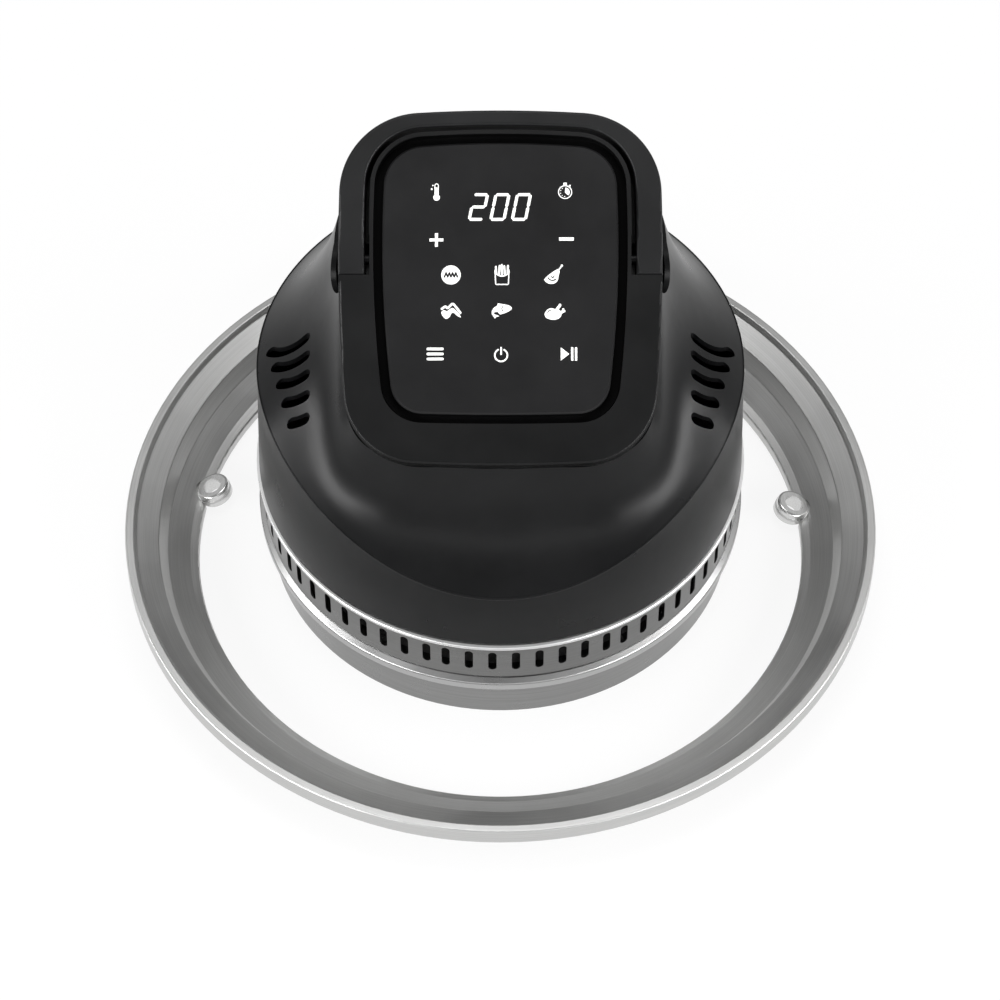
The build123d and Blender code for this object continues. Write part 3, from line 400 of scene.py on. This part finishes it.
metals = {
    "steel_satin": {"colour": (0.27, 0.27, 0.268),
                    "line": 0.00045, "depth": 0.000006, "roughness": (0.26, 0.34)},
    "steel_bright": {"colour": (0.4, 0.4, 0.396),
                     "line": 0.0004, "depth": 0.000008, "roughness": (0.3, 0.38)},
    "steel_sheet": {"colour": (0.5, 0.5, 0.5),
                    "line": 0.0008, "depth": 0.00001, "roughness": (0.35, 0.5)},
    "heater_tube": {"colour": (0.09, 0.085, 0.08),
                    "line": 0.001, "depth": 0.00001, "roughness": (0.5, 0.65)},
    "wire_bright": {"colour": (0.72, 0.72, 0.72),
                    "line": 0.0008, "depth": 0.000004, "roughness": (0.14, 0.22)},
    "pin_dark": {"colour": (0.03, 0.03, 0.031),
                 "line": 0.0006, "depth": 0.000004, "roughness": (0.35, 0.5)},
    "screw_steel": {"colour": (0.5, 0.5, 0.5),
                    "line": 0.0005, "depth": 0.000006, "roughness": (0.25, 0.4)},
    "fan_aluminium": {"colour": (0.7, 0.7, 0.71),
                      "line": 0.0008, "depth": 0.000008, "roughness": (0.3, 0.42)},
    "motor_steel": {"colour": (0.4, 0.41, 0.42),
                    "line": 0.001, "depth": 0.000008, "roughness": (0.35, 0.5)},
    "winding": {"colour": (0.5, 0.26, 0.1),
                "line": 0.0006, "depth": 0.00004, "roughness": (0.35, 0.5)},
    "blade_brass": {"colour": (0.65, 0.5, 0.25),
                    "line": 0.0006, "depth": 0.000004, "roughness": (0.2, 0.3)},
}

finishes = {name: mouldedMaterial(name, look) for name, look in plastics.items()}
symbolGlow = 0.35
finishes["symbol_white"] = mouldedMaterial("symbol_white", plastics["part_white"])
symbolShader = finishes["symbol_white"].node_tree.nodes["Principled BSDF"]
symbolShader.inputs["Emission Color"].default_value = (1, 1, 1, 1)
symbolShader.inputs["Emission Strength"].default_value = symbolGlow
finishes.update({name: spunMaterial(name, look) for name, look in metals.items()})

special = {
    # nodes whose sheet has its own tone, and lighter or darker bands of painted light as (low, high, grey) in
    # millimetres
    "rim_ring": dict(metals["steel_bright"], centreY=-15.4 * mm, colour=(0.6, 0.6, 0.594), depth=0.00001,
                     roughness=(0.38, 0.46)),
    "eyelets": dict(metals["steel_bright"], colour=(0.72, 0.72, 0.715), roughness=(0.2, 0.28)),
    # the light band on the vent band's rolled bead is a painted highlight
    "vent_band": dict(metals["steel_satin"], colour=(0.2, 0.2, 0.198), paintedLightBands=((51.9, 55.4, 0.8),)),
    # the lighter band on the skirt's flange is painted light on its upward face
    "pot_skirt": dict(metals["steel_satin"], paintedLightBands=((21.5, 30.5, 0.42),)),
}
finishes.update({node: spunMaterial(node, look) for node, look in special.items()})


def dressNodes():
    # every carried-over node takes the finish of its slot in the record
    for entry in frame["record"]["subparts"]:
        node = nodes[entry["node"]]
        finish = finishes.get(entry["node"], finishes[entry["material_slot"]])
        node.data.materials.clear()
        node.data.materials.append(finish)


dressNodes()
print("finishes made:", len(finishes))


# Lines and outlines on a plane, as arrays of points

capPoints = 8        # points on the half circle at a thick line's end, its two ends among them


def strip(points, width):
    # a thick line: the points moved half the width to the right, a half circle, and back on the left
    line = np.asarray(points, dtype=float)
    along = np.gradient(line, axis=0)
    along = along / np.linalg.norm(along, axis=1)[:, None] * width / 2
    side = np.stack([-along[:, 1], along[:, 0]], 1)
    turn = np.linspace(0, math.pi, capPoints)[1:-1, None]
    head = line[-1] - side[-1] * np.cos(turn) + along[-1] * np.sin(turn)
    tail = line[0] + side[0] * np.cos(turn) - along[0] * np.sin(turn)
    return np.concatenate([line - side, head, (line + side)[::-1], tail])


def arcLine(x, y, radius, start, stop, count=28):
    # points on a circle between two angles in degrees
    turn = np.radians(np.linspace(start, stop, count))
    return np.stack([x + radius * np.cos(turn), y + radius * np.sin(turn)], 1)


def disc(x, y, radius, count=32):
    # a round outline
    return arcLine(x, y, radius, 0, 360, count + 1)[:-1]


def slabBar(x, y, wide, tall):
    # a rectangle about its centre
    return np.array([(-wide, -tall), (wide, -tall), (wide, tall), (-wide, tall)]) / 2 + (x, y)


def smoothLoop(corners, count=7):
    # a closed line through the corners: between two of them the cubic whose slope at each corner is half
    # the step from the corner before it to the corner after it
    a = np.asarray(corners, dtype=float)[:, None, :]
    before, after, next_ = np.roll(a, 1, 0), np.roll(a, -1, 0), np.roll(a, -2, 0)
    t = np.linspace(0, 1, count, endpoint=False)[None, :, None]
    line = a + (after - before) / 2 * t + (2 * before - 5 * a + 4 * after - next_) / 2 * t**2
    line = line + (3 * a - before - 3 * after + next_) / 2 * t**3
    return line.reshape(-1, 2)


def smoothLine(corners, count=7):
    # the same curve left open, straight on past its two ends
    a = np.asarray(corners, dtype=float)
    a = np.concatenate([[2 * a[0] - a[1]], a, [2 * a[-1] - a[-2]]])[:, None, :]
    before, here, after, next_ = a[:-3], a[1:-2], a[2:-1], a[3:]
    t = np.linspace(0, 1, count, endpoint=False)[None, :, None]
    line = here + (after - before) / 2 * t + (2 * before - 5 * here + 4 * after - next_) / 2 * t**2
    line = line + (3 * here - before - 3 * after + next_) / 2 * t**3
    return np.concatenate([line.reshape(-1, 2), a[-2]])


# Symbols on the touch glass, each drawn about its own centre in millimetres

def thermometer():
    # a hollow tube with a round head, filled below, a bulb, and two dots beside it
    glass = np.concatenate([[(-0.75, 1.2)], arcLine(0, 2.9, 0.75, 180, 0, 12), [(0.75, 1.2)]])
    white = [strip(glass, 0.36), strip([(0, -2.2), (0, 1.2)], 1.75), disc(0, -2.4, 1.45),
             disc(-1.6, 3.0, 0.3), disc(-2.1, 1.3, 0.42)]
    return white, []


def timer():
    # a ring with a crown and a side knob, a wedge on its right and five dots on its left
    wedge = np.concatenate([[(-0.1, -0.2)], arcLine(0, 0, 2.0, -48, 88, 16)])
    turns = np.radians([125, 160, 195, 230, 265])
    ticks = [disc(2.0 * math.cos(a), 2.0 * math.sin(a), 0.2, 12) for a in turns]
    white = [strip(arcLine(0, 0, 2.85, 0, 360, 40), 0.42), wedge, slabBar(0, 3.65, 1.5, 1.1),
             strip([(1.7, 2.5), (2.1, 2.9)], 0.75)]
    return white + ticks, []


digitLook = {"halfWide": 2.85, "halfTall": 5.5, "stroke": 1.3, "gap": 0.72, "slant": 0.2, "pitch": 9.3}


def digit(lit, look):
    # the lit ones of seven strokes, three level and two upright at each side; each point is then moved right
    # by slant times its height
    w, h, g = look["halfWide"], look["halfTall"], look["gap"]
    ends = {"top": ((-w + g, h), (w - g, h)), "middle": ((-w + g, 0), (w - g, 0)),
            "bottom": ((-w + g, -h), (w - g, -h)), "topRight": ((w, g), (w, h - g)),
            "topLeft": ((-w, g), (-w, h - g)), "lowRight": ((w, -g), (w, g - h)),
            "lowLeft": ((-w, -g), (-w, g - h))}
    strokes = [strip(ends[name], look["stroke"]) for name in lit]
    return [np.stack([line[:, 0] + look["slant"] * line[:, 1], line[:, 1]], 1) for line in strokes]


def readout():
    # the lit digits 2, 0 and 0
    look = digitLook
    two = ("top", "topRight", "middle", "lowLeft", "bottom")
    nought = ("top", "topRight", "lowRight", "bottom", "lowLeft", "topLeft")
    white = []
    for k, lit in enumerate((two, nought, nought)):
        white += [line + ((k - 1) * look["pitch"], 0) for line in digit(lit, look)]
    return white, []


def plus():
    # two crossed bars
    return [slabBar(0, 0, 6.0, 1.3), slabBar(0, 0, 1.3, 6.0)], []


def minus():
    # one level bar
    return [slabBar(0, 0, 6.4, 1.45)], []


def program():
    # a white disc with a plain zigzag of four teeth on it
    zigzag = np.array([(-2.8, -0.9), (-2.1, 0.9), (-1.4, -0.9), (-0.7, 0.9), (0, -0.9),
                       (0.7, 0.9), (1.4, -0.9), (2.1, 0.9), (2.8, -0.9)])
    runs = [strip(zigzag[k:k + 2], 0.7) for k in range(len(zigzag) - 1)]
    return [disc(0, 0, 4.2, 48)], runs


def fries():
    # an open cup with a curved lip, and five leaning sticks
    cup = [(-3.0, 2.2), (-2.75, -4.0), (-2.4, -4.2), (2.4, -4.2), (2.75, -4.0), (3.0, 2.2)]
    lip = smoothLine([(-3.0, 1.3), (-1.6, -0.1), (0, -0.5), (1.6, -0.1), (3.0, 1.3)])
    lean = ((-2.45, 3.6, -0.2), (-1.25, 4.0, 0.25), (0.0, 4.4, -0.1), (1.2, 3.9, -0.25), (2.4, 4.0, 0.15))
    sticks = [strip([(x, 1.3 * abs(x) / 3), (x + drift, top)], 0.85) for x, top, drift in lean]
    return [strip(cup, 0.5), strip(lip, 0.6)] + sticks, []


def drumstick():
    # a smooth piece of meat with a bone and its knob, and two dark strokes
    meat = smoothLoop([(-3.8, -2.2), (-2.2, -3.7), (0.2, -3.9), (1.9, -2.6), (2.4, -0.4), (2.8, 1.6),
                       (2.2, 2.5), (1.1, 2.1), (-0.7, 0.9), (-2.7, -0.7)])
    bone = strip([(2.4, 2.2), (3.6, 3.8)], 0.6)
    shade = strip(smoothLine([(-2.2, -1.3), (-1.3, -2.2), (0.1, -2.4), (1.1, -1.9)]), 0.5)
    glint = strip(smoothLine([(-0.7, -0.7), (-0.2, -1.3), (0.5, -0.4)]), 0.4)
    return [meat, bone, disc(3.8, 4.1, 0.5, 16)], [shade, glint]


def wings():
    # a curved stroke over a smooth shape with three points
    upper = strip(smoothLine([(-4.0, 0.9), (-2.5, 1.9), (-1.4, 1.3), (0.6, 3.1), (2.1, 1.7),
                              (4.0, -0.8)]), 0.95)
    lower = smoothLoop([(-4.2, -0.5), (-3.5, -2.4), (-2.1, -3.5), (-0.6, -2.6), (0.2, -1.0), (1.2, -0.9),
                        (2.6, -2.1), (4.2, -2.8), (3.2, -1.0), (1.8, 0.5), (0.6, 1.3), (-0.6, 0.7),
                        (-1.8, -0.1), (-3.0, 0.3)])
    return [upper, lower], []


def fish():
    # a smooth body bent down to its tail, with a dark gill and eye
    body = smoothLoop([(4.5, 1.1), (3.2, 2.4), (1.2, 2.9), (-1.5, 3.3), (-1.8, 2.5), (-3.2, 1.4), (-4.1, 0.0),
                       (-4.2, -1.3), (-3.6, -2.2), (-2.9, -3.3), (-2.2, -2.6), (-1.0, -2.3), (-2.0, -1.8),
                       (-3.2, -1.3), (-3.1, -0.6), (-1.6, -0.5), (-0.6, -1.5), (1.5, -0.9), (3.3, 0.0)])
    gill = strip(smoothLine([(0.5, -0.1), (0.1, 0.9), (0.4, 1.9)]), 0.32)
    return [body], [gill, disc(2.3, 1.3, 0.26, 12)]


def roast():
    # a smooth body with two thick legs ending in knobs, and a dark stroke
    body = smoothLoop([(-4.3, -1.2), (-3.6, -2.7), (-1.4, -3.5), (1.2, -3.3), (2.6, -2.2), (2.9, -0.9),
                       (2.2, 0.6), (0.6, 0.9), (-0.6, 1.4), (-2.2, 1.4), (-3.6, 0.3)])
    legs = [strip([(0.8, 0.8), (2.0, 2.3)], 1.2), strip([(2.3, -0.8), (3.7, 0.2)], 1.2)]
    knobs = [disc(2.3, 2.9, 0.6, 16), disc(4.2, 0.2, 0.5, 16), disc(3.7, 1.0, 0.5, 16)]
    shade = strip(smoothLine([(-3.0, -0.4), (-2.4, 0.4), (-1.2, 0.7)]), 0.36)
    return [body] + legs + knobs, [shade]


def menu():
    # three level strokes
    return [strip([(-3.1, y), (3.1, y)], 1.15) for y in (-2.2, 0, 2.2)], []


def power():
    # a circle open at the top, with an upright stroke in the opening
    return [strip(arcLine(0, -0.35, 2.7, 118, 422, 36), 0.66), strip([(0, 0.1), (0, 2.9)], 0.75)], []


def playPause():
    # a triangle and two upright bars
    arrow = np.array([(-3.5, -2.9), (0.1, 0.0), (-3.5, 2.9)])
    return [arrow, slabBar(1.4, 0, 0.95, 5.8), slabBar(3.05, 0, 0.95, 5.8)], []


panelLook = {
    "rise": 0.05,        # millimetres that a symbol stands over the glass
    "layer": 0.0015,     # each further outline stands this much higher, so none lie in one plane
    "markRise": 0.02,    # millimetres that the dark marks stand over the highest white one
    "places": (
        (thermometer, -27.6, 31.1), (readout, -0.2, 24.45), (timer, 28.0, 31.1),
        (plus, -27.6, 9.8), (minus, 28.5, 10.2),
        (program, -21.3, -5.7), (fries, 0.7, -5.7), (drumstick, 22.7, -5.7),
        (wings, -21.2, -21.6), (fish, 0.5, -21.6), (roast, 23.3, -21.9),
        (menu, -28.0, -40.5), (power, 0.3, -40.7), (playPause, 29.4, -40.5),
    ),
}


def glassPoints():
    # the vertices of the glass, one row each
    mesh = nodes["control_lens"].data
    points = np.empty(3 * len(mesh.vertices), dtype=np.float32)
    mesh.vertices.foreach_get("co", points)
    return points.reshape(-1, 3)


def glassPlane():
    # the glass's normal is the way its switch pin slides, and its level is the farthest point along it
    axes = {joint["name"]: joint["axis"] for joint in frame["joints"]}
    normal = np.array(axes["plunger_rise"])
    normal = normal / np.linalg.norm(normal)
    return normal, float((glassPoints() @ normal).max())


def glassAxes(plane):
    # the way up the slope, and the point of the plane on the upright axis
    normal, level = plane
    return np.array([0, normal[2], -normal[1]]), np.array([0, 0, level / normal[2]])


def onGlass(line, height, plane):
    # panel coordinates in millimetres: across, up the slope, and out along the normal from the glass
    normal = plane[0]
    up, origin = glassAxes(plane)
    across = np.array([1.0, 0, 0])
    return origin + line[:, :1] * mm * across + line[:, 1:] * mm * up + height * mm * normal


def printOnGlass(name, outlines, low, look, plane):
    # every outline becomes a low prism: the outline at two heights, a cap on each and a wall between
    points, faces, start = [], [], 0
    for k, line in enumerate(outlines):
        after = np.roll(line, -1, 0)
        if (line[:, 0] * after[:, 1] - after[:, 0] * line[:, 1]).sum() < 0:
            line = line[::-1]
        count = len(line)
        points += [onGlass(line, 0, plane), onGlass(line, low + look["rise"] + k * look["layer"], plane)]
        lower = start + np.arange(count)
        upper = lower + count
        faces += [upper.tolist(), lower[::-1].tolist()]
        faces += np.stack([lower, np.roll(lower, -1), np.roll(upper, -1), upper], 1).tolist()
        start += 2 * count
    return meshFrom(name, np.concatenate(points), faces, smooth=False)


def addSymbols(look):
    # every symbol at its place: the white shapes in one piece and the dark marks on them in another
    white, dark = [], []
    for draw, u, v in look["places"]:
        pale, shade = draw()
        white += [line + (u, v) for line in pale]
        dark += [line + (u, v) for line in shade]
    plane = glassPlane()
    lit = printOnGlass("panelSymbols", white, 0.0, look, plane)
    lit.data.materials.append(finishes["symbol_white"])
    marks = printOnGlass("panelMarks", dark, look["layer"] * len(white) + look["markRise"],
                         look, plane)
    marks.data.materials.append(finishes["lens_black"])
    for piece in (lit, marks):
        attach(piece, "lid")


addSymbols(panelLook)
print("panel symbols drawn")


# Painted shade: a dark sheet lining the groove round the glass, standing in for the groove's shadow

grooveShadeLook = {
    "inner": 0.08, "outer": 3.92,                     # millimetres out from the glass's edge
    "innerTop": 0.9, "outerTop": 0.5, "floor": 4.52,  # depths under the panel
    "around": 360,
}


def glassOutline(plane, count):
    # for each direction round the panel, the glass's vertex that lies farthest that way
    points = glassPoints()
    up, origin = glassAxes(plane)
    flat = np.stack([points[:, 0], (points - origin) @ up], 1) / mm
    turn = np.linspace(0, 2 * math.pi, count, endpoint=False)
    way = np.stack([np.cos(turn), np.sin(turn)], 1)
    return flat[(way @ flat.T).argmax(1)], way


def paintedGrooveShade(look):
    # a dark channel carried round the glass: down its edge, across the groove's floor and up the rim. It is
    # painted shade that darkens the groove as its shadow would
    plane = glassPlane()
    edge, way = glassOutline(plane, look["around"])
    section = ((look["inner"], look["innerTop"]), (look["inner"], look["floor"]),
               (look["outer"], look["floor"]), (look["outer"], look["outerTop"]))
    rows = [onGlass(edge + grow * way, -depth, plane) for grow, depth in section]
    shadeSheet = meshFrom("paintedGrooveShade", np.concatenate(rows), gridFaces(len(rows), len(edge), False, True),
                      smooth=False)
    shadeSheet.data.materials.append(finishes["painted_groove_shade"])
    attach(shadeSheet, "lid")


paintedGrooveShade(grooveShadeLook)
print("groove lined")


# Bead along the parting line of the black housing

beadLook = {
    "base": 56.4, "baseRadius": 111.0, "taper": 0.04,    # the wall's foot, and what it narrows per height
    "front": 88.0, "side": 119.0, "turn": 79.0,     # the line's height at the front and from that angle on
    "radius": 0.42, "inset": 0.12, "around": 10, "along": 360,
}


def partingBead(look):
    # a closed tube on the housing's tapered wall: its height eases from the front's to the side's by
    # s * s * (3 - 2 * s), where s is the angle from the front over turn, held at 1
    a = np.linspace(0, 2 * math.pi, look["along"], endpoint=False)[:, None]
    folded = np.degrees(np.minimum(a, 2 * math.pi - a))
    s = np.minimum(folded / look["turn"], 1)
    height = look["front"] + (look["side"] - look["front"]) * s * s * (3 - 2 * s)
    wall = look["baseRadius"] - (height - look["base"]) * look["taper"] - look["inset"]
    t = np.linspace(0, 2 * math.pi, look["around"], endpoint=False)[None, :]
    r = wall + look["radius"] * np.cos(t)
    points = np.stack([r * np.sin(a), -r * np.cos(a), height + look["radius"] * np.sin(t)], -1) * mm
    bead = meshFrom("partingBead", points.reshape(-1, 3),
                    gridFaces(look["along"], look["around"], True, True))
    bead.data.materials.append(finishes["housing_black"])
    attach(bead, "lid")


partingBead(beadLook)
print("parting bead laid")


# Floor

floorLook = {"size": 6.0, "colour": (0.86, 0.86, 0.86), "roughness": 0.9, "glow": 0.85}


def addFloor(look):
    # a plain pale square: the camera and mirrors see most of it as white, and the rest keeps the shadow
    half = look["size"] / 2
    corners = [(-half, -half, 0), (half, -half, 0), (half, half, 0), (-half, half, 0)]
    floor = meshFrom("studioFloor", corners, [(0, 1, 2, 3)], smooth=False)
    material, tree, shader = newMaterial("paleFloor")
    shader.inputs["Base Color"].default_value = (*look["colour"], 1)
    shader.inputs["Roughness"].default_value = look["roughness"]
    glow = addNode(tree, "ShaderNodeEmission", Color=(1, 1, 1, 1), Strength=1.0)
    path = addNode(tree, "ShaderNodeLightPath")
    seen = addNode(tree, "ShaderNodeMath", {"operation": "MAXIMUM"}, i0=path.outputs["Is Camera Ray"],
                   i1=path.outputs["Is Glossy Ray"])
    share = addNode(tree, "ShaderNodeMath", {"operation": "MULTIPLY"}, i0=seen.outputs[0], i1=look["glow"])
    mix = addNode(tree, "ShaderNodeMixShader")
    tree.links.new(share.outputs[0], mix.inputs[0])
    tree.links.new(shader.outputs[0], mix.inputs[1])
    tree.links.new(glow.outputs[0], mix.inputs[2])
    tree.links.new(mix.outputs[0], tree.nodes["Material Output"].inputs["Surface"])
    floor.data.materials.append(material)


addFloor(floorLook)
print("floor laid")
